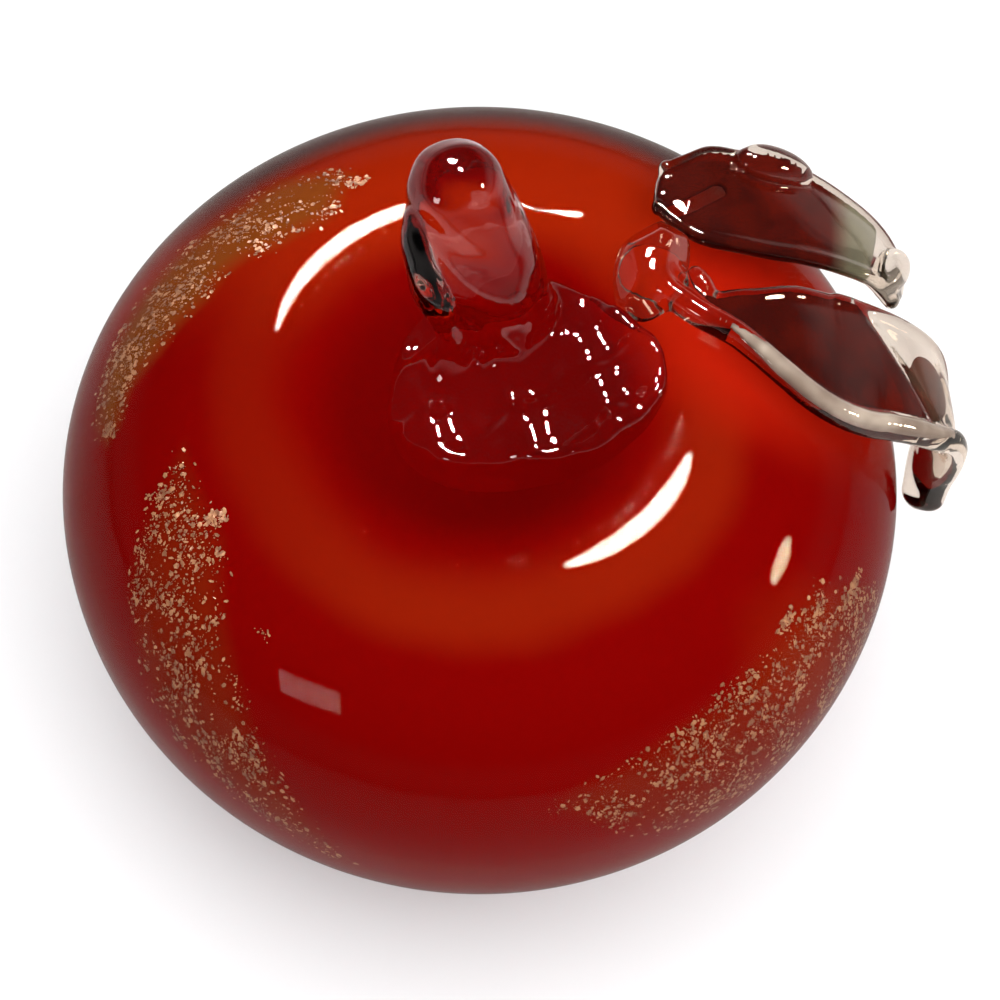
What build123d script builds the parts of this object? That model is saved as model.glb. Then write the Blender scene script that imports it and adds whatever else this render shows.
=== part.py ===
from build123d import *
import math
import os

os.makedirs("parts", exist_ok=True)

# A hand-blown cased glass apple, in millimetres.
# The origin is the centre of its ground base, and +Z points up through the dimple.

# Outer form of the clear glass
body_radius = 65.0
girth_height = 44.0
crown_radius = 31.5
crown_height = 75.0
dimple_floor_height = 59.0
base_radius = 27.5

# Depth of the clear casing over the red glass
casing_side = 7.0
casing_crown = 6.5
casing_dimple = 6.0
casing_base = 8.0

# Joint between casing and red layer, where the gold leaf is trapped
bond_gap = 0.3
leaf_metal_thickness = 0.12
leaf_metal_clearance = 0.05

# Red overlay, and the clear first gather round the air bubble
red_thickness = 2.0
gather_thickness = 5.0

# Scraps of gold leaf, and the even scatter that places and turns them
scrap_count = 96
scrap_width = 2.2
scrap_least_share = 0.45
scatter_across_share = 0.7548777
scatter_turn_share = 0.5698403

# Stem bit, drawn up out of its foot in the dimple
stem_radius = 9.3
stem_root_x = 3.5
stem_root_y = 8.0
stem_root_rise = 3.0
stem_length = 34.5
stem_lean_side = -5.9
stem_lean_back = 12.3
foot_radius = 28.0
foot_height = 16.6
foot_sink = 3.0
foot_tilt_angle = 12.0

# Leaf bits, drawn out and pressed flat on the shoulder
front_leaf_width = 24.0
front_leaf_thickness = 6.0
front_leaf_roll_angle = 0.0
back_leaf_width = 19.5
back_leaf_thickness = 6.0
back_leaf_roll_angle = 8.0
knot_length = 18.0
knot_width = 10.0
knot_height = 8.0

# Strips of gold leaf: azimuth and rise of both ends, and the half height at the middle, all in degrees
gold_strip_angles = {
    "gold_leaf_back_left": (112, 68, 182, 33, 11),
    "gold_leaf_front_left": (188, 63, 254, -15, 25),
    "gold_leaf_front_right": (280, 16, 344, 12, 21),
}

# Corners of one torn scrap, as shares of its width
scrap_outline_shares = [(-0.50, -0.18), (0.06, -0.44), (0.50, -0.06), (0.22, 0.40), (-0.30, 0.34)]

# Stem stations from root to tip: shares of its height, of its lean and of its radius
stem_station_shares = [
    (0.00, 0.00, 1.35),
    (0.15, 0.05, 1.16),
    (0.29, 0.12, 0.99),
    (0.46, 0.33, 0.95),
    (0.64, 0.55, 1.00),
    (0.81, 0.79, 0.97),
    (1.00, 1.00, 0.82),
]

# Foot outline: azimuth in degrees and share of the foot's radius
foot_outline_shares = [
    (0, 1.00),
    (30, 0.86),
    (60, 0.75),
    (90, 0.67),
    (120, 0.62),
    (155, 0.51),
    (200, 0.50),
    (240, 0.47),
    (270, 0.46),
    (300, 0.54),
    (330, 0.80),
]

# Foot levels: share of the foot's height, and share of its outline
foot_level_shares = [(0.000, 1.00), (0.694, 1.00), (0.873, 0.93), (0.962, 0.74), (1.000, 0.45)]

# Leaf stations: azimuth and rise in degrees, lift as a share of the thickness,
# and then shares of the width and of the thickness
front_leaf_station_shares = [
    (29.0, 89.0, 0.45, 0.25, 0.80),
    (19.0, 85.0, 0.50, 0.24, 0.75),
    (14.0, 74.5, 0.42, 0.48, 0.85),
    (10.4, 63.0, 0.36, 0.82, 0.95),
    (7.6, 51.0, 0.36, 1.02, 1.00),
    (7.2, 38.0, 0.60, 1.02, 1.00),
    (6.6, 28.0, 1.05, 0.97, 1.00),
    (6.0, 18.0, 1.45, 0.84, 1.00),
    (4.8, 8.5, 1.30, 0.68, 1.20),
    (3.0, 0.5, 1.02, 0.54, 1.45),
    (0.6, -4.5, 0.85, 0.36, 1.30),
]
back_leaf_station_shares = [
    (51.0, 68.0, 0.35, 0.50, 0.75),
    (45.6, 64.0, 0.50, 0.88, 1.00),
    (39.4, 55.5, 0.65, 1.00, 1.00),
    (35.0, 45.0, 0.85, 1.02, 1.00),
    (30.6, 35.0, 1.10, 0.95, 1.00),
    (26.4, 27.0, 1.35, 0.82, 1.05),
    (22.6, 21.0, 1.35, 0.62, 1.05),
]

# Place of the knot on the crown in degrees, and its lift as a share of its height
knot_azimuth_angle = 36.0
knot_rise_angle = 89.0
knot_heading_angle = 72.0
knot_lift_share = 0.20


def polar(azimuth, reach, height):
    """Point at an azimuth in degrees, a distance from the apple's axis and a height."""
    turn = math.radians(azimuth)
    return Vector(reach * math.cos(turn), reach * math.sin(turn), height)


def apple_form(side, crown, dimple, base):
    """Solid apple whose skin lies the given depths inside the outer form."""
    girth = body_radius - side
    top = crown_height - crown
    floor = dimple_floor_height - dimple
    flat = base_radius - base
    shoulder = EllipticalCenterArc(
        (crown_radius, girth_height), girth - crown_radius, top - girth_height, arc_size=90
    )
    belly = EllipticalCenterArc(
        (flat, girth_height), girth - flat, girth_height - base, start_angle=270, arc_size=90
    )
    hollow = Bezier((crown_radius, top), (crown_radius * 2 / 3, top), (crown_radius / 3, floor), (0, floor))
    middle = Line((0, floor), (0, base))
    bottom = Line((0, base), (flat, base))
    return revolve(Plane.XZ * make_face([bottom, belly, shoulder, hollow, middle]), Axis.Z)


def skin(azimuth, rise, side, crown, base):
    """Point and outward direction on a form's shoulder or belly, from 0 degrees at the girth."""
    turn = math.radians(rise)
    if rise >= 0:
        centre = crown_radius
        height = crown_height - crown - girth_height
    else:
        centre = base_radius - base
        height = girth_height - base
    reach = body_radius - side - centre
    point = polar(azimuth, centre + reach * math.cos(turn), girth_height + height * math.sin(turn))
    outward = polar(azimuth, math.cos(turn) / reach, math.sin(turn) / height).normalized()
    return point, outward


def gold_scrap(azimuth, rise, width, turn):
    """One torn scrap of gold leaf, flat on the red layer."""
    point, outward = skin(azimuth, rise, casing_side, casing_crown, casing_base)
    along = polar(azimuth + 90, 1, 0)
    across = outward.cross(along)
    edge = along * math.cos(turn) + across * math.sin(turn)
    seat = Plane(point + outward * leaf_metal_clearance, x_dir=edge, z_dir=outward)
    corners = [(width * x, width * y) for x, y in scrap_outline_shares]
    return extrude(seat * make_face(Polyline(*corners, close=True)), leaf_metal_thickness)


def gold_strip(azimuth_1, rise_1, azimuth_2, rise_2, half_rise):
    """Scraps spread evenly over a strip that is widest at its middle."""
    scraps = []
    for i in range(scrap_count):
        along = (i + 0.5) / scrap_count
        across = 2 * ((i * scatter_across_share) % 1) - 1
        size_share = (i * scatter_turn_share) % 1
        swell = math.sqrt(math.sin(math.pi * along))
        azimuth = azimuth_1 + (azimuth_2 - azimuth_1) * along
        rise = rise_1 + (rise_2 - rise_1) * along + half_rise * swell * across
        width = scrap_width * (scrap_least_share + (1 - scrap_least_share) * size_share)
        scraps.append(gold_scrap(azimuth, rise, width, 2 * math.pi * size_share))
    return scraps


def leaf_blade(stations, width, thickness, roll):
    """Leaf drawn through elliptical stations that follow the shoulder, its back edge rolled up."""
    lean = math.radians(roll)
    centres = []
    normals = []
    for azimuth, rise, lift, _, _ in stations:
        point, outward = skin(azimuth, rise, 0, 0, 0)
        centres.append(point + outward * (lift * thickness))
        normals.append(outward)
    sections = []
    last = len(stations) - 1
    for i, (_, _, _, wide, thick) in enumerate(stations):
        ahead = (centres[min(i + 1, last)] - centres[max(i - 1, 0)]).normalized()
        front = ahead.cross(normals[i]).normalized()
        level = front.cross(ahead)
        across = front * math.cos(lean) - level * math.sin(lean)
        section = Plane(centres[i], x_dir=across, z_dir=ahead)
        sections.append(section * Ellipse(wide * width / 2, thick * thickness / 2))
    return loft(sections)


def foot_level(height, size):
    """Outline of the stem's foot at one level, rising to the right."""
    level = Plane((0, 0, height)).rotated((0, -foot_tilt_angle, 0))
    rim = [polar(azimuth, foot_radius * share * size, 0) for azimuth, share in foot_outline_shares]
    return level * make_face(Spline(*rim, periodic=True))


def stem_bit():
    """Stem with its rounded tip and the foot that fills the dimple."""
    sections = []
    for height, lean, size in stem_station_shares:
        centre = (
            stem_root_x + stem_lean_side * lean,
            stem_root_y + stem_lean_back * lean,
            dimple_floor_height + stem_root_rise + stem_length * height,
        )
        sections.append(Plane(centre) * Circle(stem_radius * size))
    tip = Plane(centre) * Sphere(stem_radius * size)
    foot_root = dimple_floor_height - foot_sink
    levels = [foot_level(foot_root + foot_height * height, size) for height, size in foot_level_shares]
    return loft(sections) + tip + loft(levels)


def knot():
    """Pinched end of the front leaf, on the crown."""
    point, outward = skin(knot_azimuth_angle, knot_rise_angle, 0, 0, 0)
    centre = point + outward * (knot_lift_share * knot_height)
    seat = Plane(centre, x_dir=polar(knot_heading_angle, knot_length, 0), z_dir=outward)
    half = Plane.XZ * make_face([
        EllipticalCenterArc((0, 0), knot_length / 2, knot_height / 2, arc_size=180),
        Line((-knot_length / 2, 0), (knot_length / 2, 0)),
    ])
    return seat * scale(revolve(half, Axis.X), by=(1, knot_width / knot_height, 1))


# Body of the apple, from the outside in
outer_form = apple_form(0, 0, 0, 0)
red_form = apple_form(casing_side, casing_crown, casing_dimple, casing_base)
red_seat = apple_form(
    casing_side - bond_gap,
    casing_crown - bond_gap,
    casing_dimple - bond_gap,
    casing_base - bond_gap,
)
gather_form = apple_form(
    casing_side + red_thickness,
    casing_crown + red_thickness,
    casing_dimple + red_thickness,
    casing_base + red_thickness,
)
bubble_depth = red_thickness + gather_thickness
bubble = apple_form(
    casing_side + bubble_depth,
    casing_crown + bubble_depth,
    casing_dimple + bubble_depth,
    casing_base + bubble_depth,
)

pieces = {
    "clear_casing": outer_form - red_seat,
    "red_layer": red_form - gather_form,
    "first_gather": gather_form - bubble,
}

# Gold leaf between the red layer and the casing
for name, strip in gold_strip_angles.items():
    pieces[name] = Compound(children=gold_strip(*strip))

# Bits of clear glass put on the finished body
pieces["stem"] = stem_bit() - outer_form
front_leaf = knot() + leaf_blade(
    front_leaf_station_shares, front_leaf_width, front_leaf_thickness, front_leaf_roll_angle
)
back_leaf = leaf_blade(
    back_leaf_station_shares, back_leaf_width, back_leaf_thickness, back_leaf_roll_angle
)
pieces["front_leaf"] = front_leaf - outer_form
pieces["back_leaf"] = back_leaf - outer_form - front_leaf

for name, piece in pieces.items():
    export_step(piece, f"parts/{name}.step")
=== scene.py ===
import math

import bpy
import numpy as np
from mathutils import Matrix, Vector


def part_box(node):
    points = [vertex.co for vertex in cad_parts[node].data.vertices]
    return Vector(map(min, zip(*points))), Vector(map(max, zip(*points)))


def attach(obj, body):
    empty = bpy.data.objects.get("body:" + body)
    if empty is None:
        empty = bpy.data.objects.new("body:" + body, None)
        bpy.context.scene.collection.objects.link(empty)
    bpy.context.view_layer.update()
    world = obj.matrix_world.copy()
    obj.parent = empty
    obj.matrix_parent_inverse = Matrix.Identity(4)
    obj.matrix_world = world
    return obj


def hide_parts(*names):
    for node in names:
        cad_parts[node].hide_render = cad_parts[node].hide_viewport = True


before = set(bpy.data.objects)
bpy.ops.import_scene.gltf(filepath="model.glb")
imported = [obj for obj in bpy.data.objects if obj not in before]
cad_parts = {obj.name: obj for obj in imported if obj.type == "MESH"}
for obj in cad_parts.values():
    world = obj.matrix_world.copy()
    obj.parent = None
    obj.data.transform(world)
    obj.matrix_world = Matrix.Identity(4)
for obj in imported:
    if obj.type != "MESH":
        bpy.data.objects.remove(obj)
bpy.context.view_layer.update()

mm = 0.001

# Viewpoint: above the front of the apple, close enough that the shoulder hides the base.
# The eye looks down at the girth, and the frame is shifted so that the leaves have room.
view_distance = 600 * mm
view_elevation = math.radians(61)
view_target = Vector((0, 0, 44 * mm))
view_lens = 138.13
view_sensor = 36
view_shift = (0.0203, -0.0166)
view_nearest = 10 * mm

camera_data = bpy.data.cameras.new("viewpoint")
camera_data.lens = view_lens
camera_data.sensor_width = view_sensor
camera_data.shift_x, camera_data.shift_y = view_shift
camera_data.clip_start = view_nearest
camera = bpy.data.objects.new("viewpoint", camera_data)
bpy.context.scene.collection.objects.link(camera)
view_back = Vector((0, -math.cos(view_elevation), math.sin(view_elevation)))
camera.location = view_target + view_distance * view_back
camera.rotation_euler = (math.pi / 2 - view_elevation, 0, 0)
bpy.context.scene.camera = camera
bpy.context.scene.view_settings.view_transform = "Standard"

# Table: a wide pale matt sheet that the apple stands on, level with its ground base.
# It is flat and plain, and only the apple's own shadow falls on it.
table_radius = 5000 * mm
table_sides = 96
table_colour = (0.90, 0.90, 0.91, 1)
table_roughness = 0.9


def node_material(name):
    """New material whose node tree is empty, and that tree."""
    material = bpy.data.materials.new(name)
    material.use_nodes = True
    material.node_tree.nodes.clear()
    return material, material.node_tree


def added(tree, kind, inputs=(), **settings):
    """New node with its settings; each input is fed by a socket or set to a plain value."""
    node = tree.nodes.new(kind)
    for setting, value in settings.items():
        setattr(node, setting, value)
    for socket, value in dict(inputs).items():
        if isinstance(value, bpy.types.NodeSocket):
            tree.links.new(value, node.inputs[socket])
        else:
            node.inputs[socket].default_value = value
    return node


def mesh_object(name, vertices, faces, material, smooth=True):
    """Object at the origin whose mesh has the given corners and faces."""
    mesh = bpy.data.meshes.new(name)
    mesh.from_pydata([tuple(v) for v in vertices], [], [tuple(f) for f in faces])
    mesh.polygons.foreach_set("use_smooth", [smooth] * len(mesh.polygons))
    mesh.materials.append(material)
    mesh.update()
    piece = bpy.data.objects.new(name, mesh)
    bpy.context.scene.collection.objects.link(piece)
    return piece


def table_material():
    """Pale matt laminate."""
    material, tree = node_material("pale_table")
    shader = added(tree, "ShaderNodeBsdfPrincipled", {
        "Base Color": table_colour, "Roughness": table_roughness, "Specular IOR Level": 0,
    })
    added(tree, "ShaderNodeOutputMaterial", {"Surface": shader.outputs["BSDF"]})
    return material


table_turns = [2 * math.pi * i / table_sides for i in range(table_sides)]
table_rim = [(table_radius * math.cos(turn), table_radius * math.sin(turn), 0) for turn in table_turns]
table = mesh_object("table", table_rim, [range(table_sides)], table_material(), smooth=False)

# Room: a pale wall all round at eye level, and a dim ceiling with one broad soft glow.
# Deep red glass shows its colour only where it mirrors something dim.
wall_radiance = 0.55
ceiling_radiance = 0.05
wall_top_share = 0.14
wall_fade_share = 0.38
glow_radiance = 0.06
glow_azimuth = math.radians(88)
glow_elevation = math.radians(62)
glow_inner_share = math.cos(math.radians(18))
glow_outer_share = math.cos(math.radians(34))


def direction(azimuth, elevation):
    """Unit vector towards an azimuth and an elevation."""
    level = math.cos(elevation)
    return Vector((level * math.cos(azimuth), level * math.sin(azimuth), math.sin(elevation)))


def fade(tree, value, start, end, low=0, high=1):
    """Smooth fade of a value between two levels."""
    node = added(tree, "ShaderNodeMapRange", {
        "Value": value, "From Min": start, "From Max": end, "To Min": low, "To Max": high,
    }, interpolation_type="SMOOTHSTEP")
    return node.outputs["Result"]


def maths(tree, operation, *values):
    """Result of a sum on values, each a socket or a number."""
    return added(tree, "ShaderNodeMath", enumerate(values), operation=operation).outputs["Value"]


room = bpy.data.worlds.new("room")
room.use_nodes = True
room_tree = room.node_tree
room_tree.nodes.clear()
room_place = added(room_tree, "ShaderNodeTexCoord").outputs["Generated"]
room_axes = added(room_tree, "ShaderNodeSeparateXYZ", {"Vector": room_place}).outputs
room_wall = fade(room_tree, room_axes["Z"], wall_top_share, wall_fade_share, wall_radiance, ceiling_radiance)
room_dot = added(
    room_tree, "ShaderNodeVectorMath", {0: room_place, 1: direction(glow_azimuth, glow_elevation)},
    operation="DOT_PRODUCT",
)
room_glow = fade(room_tree, room_dot.outputs["Value"], glow_outer_share, glow_inner_share, 0, glow_radiance)
room_level = maths(room_tree, "ADD", room_wall, room_glow)
room_light = added(room_tree, "ShaderNodeBackground", {"Strength": room_level})
added(room_tree, "ShaderNodeOutputWorld", {"Surface": room_light.outputs["Background"]})
bpy.context.scene.world = room

# Lamps: two round key lamps high behind the apple, each mirrored in its crown, and three smaller ones.
# Wide soft panels fill the shadows, and they are kept out of the mirror images.
# Each has an azimuth and elevation in degrees, a width and height, watts, a colour, a turn and an outline.
lamp_reach = 1000 * mm
plain_light = (1, 1, 1)
key_light = (1.0, 0.97, 0.90)
bulb_light = (1.0, 0.95, 0.85)
strip_light = (1.0, 0.90, 0.70)
mirrored_lamps = [
    ("key_lamp_left", 96, 54, (180 * mm, 180 * mm), 26, key_light, 0, "ELLIPSE"),
    ("key_lamp_right", 69.2, 66.8, (160 * mm, 160 * mm), 21.5, key_light, 0, "ELLIPSE"),
    ("bulb_lamp", 84.5, 52.5, (14 * mm, 120 * mm), 2.8, bulb_light, -27, "ELLIPSE"),
    ("strip_lamp", -3, 27, (190 * mm, 110 * mm), 6.0, strip_light, 15, "ELLIPSE"),
    ("window_lamp", -133, 32, (240 * mm, 180 * mm), 1.8, plain_light, 20, "RECTANGLE"),
]
fill_panels = [
    ("fill_high", 60, 80, (1500 * mm, 1100 * mm), 15, plain_light, 0, "RECTANGLE"),
    ("fill_front", -68, 50, (1600 * mm, 1000 * mm), 8.5, plain_light, 0, "RECTANGLE"),
]


def area_lamp(name, azimuth, elevation, size, watts, colour, turn, outline, mirrored):
    """Lamp aimed at the apple; a mirrored one is seen only in the glass, and the others only light it."""
    data = bpy.data.lights.new(name, "AREA")
    data.shape = outline
    data.size, data.size_y = size
    data.energy = watts
    data.color = colour
    lamp = bpy.data.objects.new(name, data)
    bpy.context.scene.collection.objects.link(lamp)
    towards = direction(math.radians(azimuth), math.radians(elevation))
    lamp.location = view_target + lamp_reach * towards
    lamp.rotation_euler = towards.to_track_quat("Z", "Y").to_euler()
    lamp.rotation_euler.rotate_axis("Z", math.radians(turn))
    lamp.visible_glossy = mirrored
    lamp.visible_transmission = mirrored
    lamp.visible_diffuse = not mirrored


for lamp_values in mirrored_lamps:
    area_lamp(*lamp_values, mirrored=True)
for lamp_values in fill_panels:
    area_lamp(*lamp_values, mirrored=False)

# First gather: clear glass, blown out round the sealed bubble that makes the apple hollow.
# The red overlay was laid on it while it was hot, and hides it.
glass_index = 1.5


def glass_surface(tree, polish):
    """Ends a glass: clear to lamplight, and without a surface where it is fused into other glass."""
    clear = added(tree, "ShaderNodeBsdfTransparent").outputs["BSDF"]
    rays = added(tree, "ShaderNodeLightPath").outputs
    lamplight = maths(tree, "MAXIMUM", rays["Is Shadow Ray"], rays["Is Diffuse Ray"])
    lit = added(tree, "ShaderNodeMixShader", {"Fac": lamplight, 1: polish, 2: clear})
    depth = added(tree, "ShaderNodeAttribute", attribute_name="fused_depth").outputs["Fac"]
    joint = maths(tree, "GREATER_THAN", depth, 0)
    surface = added(tree, "ShaderNodeMixShader", {"Fac": joint, 1: lit.outputs["Shader"], 2: clear})
    added(tree, "ShaderNodeOutputMaterial", {"Surface": surface.outputs["Shader"]})


def clear_glass(name, colour=(1, 1, 1, 1)):
    """Polished glass that lets lamplight through."""
    material, tree = node_material(name)
    polish = added(tree, "ShaderNodeBsdfGlass", {"Color": colour, "Roughness": 0, "IOR": glass_index})
    glass_surface(tree, polish.outputs["BSDF"])
    return material


first_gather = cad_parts["first_gather"]
first_gather.data.materials.clear()
first_gather.data.materials.append(clear_glass("inner_glass"))

# Red layer: ruby glass over the first gather, which gives the apple its colour.
# It is thick in the dimple, and painted shade darkens it there and along the far side under the crown.
# A painted glow, for light through the red where it thins, lightens it round the crown, at the back, at the
# front right and under the front leaf.
casing_low, casing_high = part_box("clear_casing")
red_low, red_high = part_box("red_layer")
body_radius = casing_high.x
crown_height = casing_high.z
girth_height = 44 * mm
crown_radius = 31.5 * mm
dimple_floor_height = 59 * mm
base_radius = 27.5 * mm
casing_dimple = 6 * mm
casing_depths = (
    body_radius - red_high.x,
    crown_height - red_high.z,
    casing_dimple,
    red_low.z - casing_low.z,
)
ridge_share = 0.70
dip_share = 0.34
red_thickness = 2 * mm
red_sides = 240
back_sides = 96
hollow_steps = 44
shoulder_steps = 64
belly_steps = 44
flat_steps = 4
back_step_share = 0.4
red_deep = (0.176, 0.0006, 0.0004, 1)
# Painted light: a lighter band round the crown, weaker on the left, and a lighter streak at the front right.
red_ring_light = (0.225, 0.0085, 0.0012, 1)
# Painted glow on the upper back, for light through the thin red there.
red_back_glow = (0.30, 0.0135, 0.0014, 1)
# Painted shade along the far side under the crown.
red_far_shade = (0.05, 0.0030, 0.0014, 1)
# Painted shade in the dimple.
red_pit_shade = (0.130, 0.0006, 0.0005, 1)
# Painted glow in the red under the front leaf.
red_leaf_glow = (0.42, 0.010, 0.002, 1)
red_dusty = (0.19, 0.062, 0.010, 1)
red_roughness = 0.7
# Places of the painted shade in the dimple and on the far side, and of the painted light round the crown, on
# the back, under the front leaf and in the front-right streak.
pit_shade_radius = (20 * mm, 29 * mm)
lit_ring_rise = (26 * mm, 35 * mm)
lit_ring_fall = (37 * mm, 43 * mm)
lit_ring_left = (-40 * mm, -8 * mm)
lit_ring_left_share = 0.45
back_glow_reach = (5 * mm, 40 * mm)
back_glow_level = (44 * mm, 56 * mm)
far_shade_reach = (22 * mm, 46 * mm)
far_shade_level = (56 * mm, 64 * mm)
far_shade_foot = (36 * mm, 52 * mm)
leaf_glow_place = (46 * mm, 15 * mm, 62 * mm)
leaf_glow_radius = (11 * mm, 28 * mm)
lit_streak_place = (40 * mm, -30 * mm, 50 * mm)
lit_streak_radius = (5 * mm, 15 * mm)
lit_streak_strength = 0.7
cloud_size = 1 / (24 * mm)
cloud_detail = 2
cloud_depth = 6 * mm


def hollow_point(share, crown, floor, top):
    """Radius and height a share of the way up the dimple's smooth side, from its floor to the crown."""
    rest = 1 - share
    radius = 3 * rest * rest * share * dip_share + 3 * rest * share * share * ridge_share + share ** 3
    return crown * radius, floor + (top - floor) * share * share * (3 - 2 * share)


def apple_profile(depths, finer=1.0):
    """Radius and height from the dimple's floor, over crown and girth, to the middle of the base."""
    side, crown, dimple, base = depths
    girth = body_radius - side
    top = crown_height - crown
    floor = dimple_floor_height - dimple
    flat = base_radius - base
    steps = [int(n * finer) for n in (hollow_steps, shoulder_steps, belly_steps, flat_steps)]
    profile = []
    for i in range(steps[0]):
        profile.append(hollow_point(i / steps[0], crown_radius, floor, top))
    for i in range(steps[1]):
        turn = math.pi / 2 * (1 - i / steps[1])
        profile.append((
            crown_radius + (girth - crown_radius) * math.cos(turn),
            girth_height + (top - girth_height) * math.sin(turn),
        ))
    for i in range(steps[2]):
        turn = math.pi / 2 * i / steps[2]
        profile.append((
            flat + (girth - flat) * math.cos(turn),
            girth_height - (girth_height - base) * math.sin(turn),
        ))
    for i in range(max(steps[3], 1) + 1):
        profile.append((flat * (1 - i / max(steps[3], 1)), base))
    return profile


def turned(profile, sides):
    """Corners and faces of a closed turned form; its profile starts and ends on the axis."""
    turn = np.arange(sides) * 2 * math.pi / sides
    corners = [(0, 0, profile[0][1])]
    for radius, height in profile[1:-1]:
        corners.extend(zip(radius * np.cos(turn), radius * np.sin(turn), [height] * sides))
    corners.append((0, 0, profile[-1][1]))
    rings = len(profile) - 2
    last = len(corners) - 1
    faces = []
    for j in range(sides):
        k = (j + 1) % sides
        faces.append((0, 1 + j, 1 + k))
        for i in range(rings - 1):
            upper, lower = 1 + i * sides, 1 + (i + 1) * sides
            faces.append((upper + j, lower + j, lower + k, upper + k))
        faces.append((last, 1 + (rings - 1) * sides + k, 1 + (rings - 1) * sides + j))
    return corners, faces


def shell(outer, inner):
    """Corners and faces of a closed wall between two turned forms."""
    corners = outer[0] + inner[0]
    faces = outer[1] + [tuple(len(outer[0]) + i for i in reversed(face)) for face in inner[1]]
    return corners, faces


def blended(tree, share, first, second):
    """Colour between two others, each a socket or a plain colour."""
    node = added(tree, "ShaderNodeMix", {"Factor": share}, data_type="RGBA")
    for name, value in (("A", first), ("B", second)):
        socket = [s for s in node.inputs if s.name == name and s.type == "RGBA"][0]
        if isinstance(value, bpy.types.NodeSocket):
            tree.links.new(value, socket)
        else:
            socket.default_value = value
    return [s for s in node.outputs if s.type == "RGBA"][0]


def axis_distance(tree, place):
    """Distance of a place from the apple's upright axis."""
    level = added(tree, "ShaderNodeVectorMath", {0: place, 1: (1, 1, 0)}, operation="MULTIPLY")
    length = added(tree, "ShaderNodeVectorMath", {0: level.outputs["Vector"]}, operation="LENGTH")
    return length.outputs["Value"]


def ruby_glass():
    """Opaque ruby red, seen through the clear casing that is fused to it, with painted light and shade in its
    colour.
    """
    material, tree = node_material("ruby_glass")
    place = added(tree, "ShaderNodeTexCoord").outputs["Object"]
    axes = added(tree, "ShaderNodeSeparateXYZ", {"Vector": place}).outputs
    cloud = added(tree, "ShaderNodeTexNoise", {"Scale": cloud_size, "Detail": cloud_detail, "Vector": place})
    drift = maths(tree, "MULTIPLY_ADD", cloud.outputs["Fac"], cloud_depth, -cloud_depth / 2)
    radius = axis_distance(tree, place)
    reach = maths(tree, "ADD", radius, drift)
    # Painted light: a lighter band round the crown, weaker on the left.
    rise = fade(tree, reach, *lit_ring_rise)
    ring = maths(tree, "MULTIPLY", rise, fade(tree, reach, *lit_ring_fall, 1, 0))
    ring = maths(tree, "MULTIPLY", ring, fade(tree, axes["X"], *lit_ring_left, lit_ring_left_share, 1))
    # Painted glow on the upper back.
    back = maths(tree, "MULTIPLY", fade(tree, maths(tree, "ADD", axes["Y"], drift), *back_glow_reach), rise)
    back = maths(tree, "MULTIPLY", back, fade(tree, axes["Z"], *back_glow_level))
    # Painted shade along the far side under the crown.
    far = maths(tree, "MULTIPLY", fade(tree, axes["Y"], *far_shade_reach), fade(tree, axes["Z"], *far_shade_level, 1, 0))
    far = maths(tree, "MULTIPLY", far, fade(tree, axes["Z"], *far_shade_foot))
    spots = []
    # Painted light: a lighter streak at the front right, and a painted glow under the front leaf.
    for spot_place, spot_radius, strength in (
        (lit_streak_place, lit_streak_radius, lit_streak_strength), (leaf_glow_place, leaf_glow_radius, 1),
    ):
        gap = added(tree, "ShaderNodeVectorMath", {0: place, 1: spot_place}, operation="DISTANCE")
        reached = maths(tree, "ADD", gap.outputs["Value"], drift)
        spots.append(fade(tree, reached, *spot_radius, strength, 0))
    streak, glow = spots
    colour = blended(tree, maths(tree, "MAXIMUM", ring, streak), red_deep, red_ring_light)
    colour = blended(tree, back, colour, red_back_glow)
    colour = blended(tree, far, colour, red_far_shade)
    colour = blended(tree, glow, colour, red_leaf_glow)
    # Painted shade darkens the red in the dimple.
    colour = blended(tree, fade(tree, radius, *pit_shade_radius), red_pit_shade, colour)
    dust = added(tree, "ShaderNodeAttribute", attribute_name="gold_dust").outputs["Fac"]
    shader = added(tree, "ShaderNodeBsdfPrincipled", {
        "Base Color": blended(tree, dust, colour, red_dusty), "Roughness": red_roughness,
        "Specular IOR Level": 0,
    })
    added(tree, "ShaderNodeOutputMaterial", {"Surface": shader.outputs["BSDF"]})
    return material


red_skin = turned(apple_profile(casing_depths), red_sides)
red_back_depths = [depth + red_thickness for depth in casing_depths]
red_back = turned(apple_profile(red_back_depths, back_step_share), back_sides)
red = mesh_object("red_overlay", *shell(red_skin, red_back), ruby_glass())
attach(red, "root")
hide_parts("red_layer")

# Gold leaf: torn strips of beaten leaf picked up on the red glass before the casing went over it.
# Blowing the apple out broke them into flecks, with a few crumpled bits left whole.
# Outlines and crumpled bits lie at azimuths and rises in degrees; a bit also has its two half sizes.
form_sizes = (body_radius, crown_height, girth_height, crown_radius, dimple_floor_height)
apple_sizes = [size / mm for size in form_sizes]
gold_grid = 0.9
gold_highest_rise = 89
gold_lift = 0.12
gold_seed = 11
gold_per_area = {"gold_leaf_back_left": 5e6, "gold_leaf_front_left": 4.4e6, "gold_leaf_front_right": 4.4e6}
gold_widths = (0.16 * mm, 1.0 * mm)
gold_size_power = 3.2
gold_slimmest_share = 0.35
gold_thickness = 0.08 * mm
gold_fleck_sides = 5
gold_tilt = 0.12
gold_torn = 0.35 * mm
gold_torn_scale = 1 / (0.6 * mm)
gold_clump_scale = 1 / (5.5 * mm)
gold_clump_fade = (0.40, 0.62)
gold_clump_least = 0.12
gold_bright = (0.43, 0.180, 0.072, 1)
gold_dull = (0.23, 0.076, 0.027, 1)
gold_metal = 0.15
gold_roughness = 0.5
gold_mottle_scale = 1 / (1.6 * mm)
gold_mottle_fade = (0.38, 0.62)
gold_edge = 5.0
gold_haze_edge = 9.0
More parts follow.
